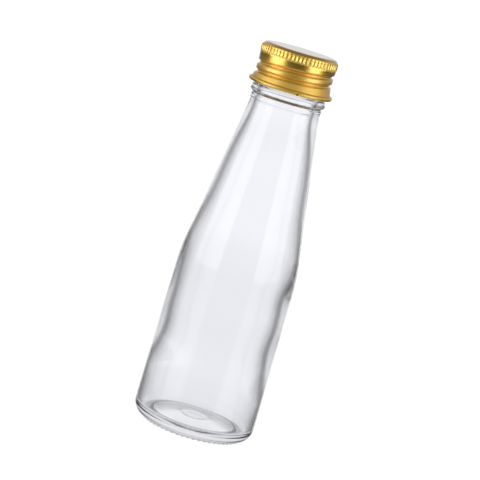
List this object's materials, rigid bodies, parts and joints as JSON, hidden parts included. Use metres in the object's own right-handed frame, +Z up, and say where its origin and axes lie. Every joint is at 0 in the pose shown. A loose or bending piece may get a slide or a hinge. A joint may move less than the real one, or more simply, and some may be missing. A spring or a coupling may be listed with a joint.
{
  "type": "milk bottle",
  "caption": "Small clear glass bottle with a conical shoulder and narrow neck, closed by a knurled aluminium screw cap with a sealing liner.",
  "frame": {"origin": "centre of the circle of raised dots that the bottle stands on", "axes": "+Z up the bottle's axis to the cap; -Y is the side that the picture shows"},
  "size_m": [0.0443, 0.0442, 0.1415],
  "materials": {
    "glass": "clear polished soda-lime glass",
    "cap_metal": "satin gold lacquer",
    "liner": "white foamed polyethylene"
  },
  "bodies": {
    "bottle": {"bottle": "glass"},
    "liner": {"liner": "liner"},
    "cap": {"cap": "cap_metal"}
  },
  "joints": [
    {"name": "cap_rise", "type": "slide", "parent": "bottle", "child": "liner", "axis": [0, 0, 1], "range_m": [0, 0.01906]},
    {"name": "cap_turn", "type": "hinge", "parent": "liner", "child": "cap", "pos_m": [0, 0, 0.1415], "axis": [0, 0, 1], "range_deg": [0, 2160]}
  ],
  "couplings": [
    {"joint": "cap_rise", "follows": "cap_turn", "m_per_rad": 0.00050532}
  ]
}
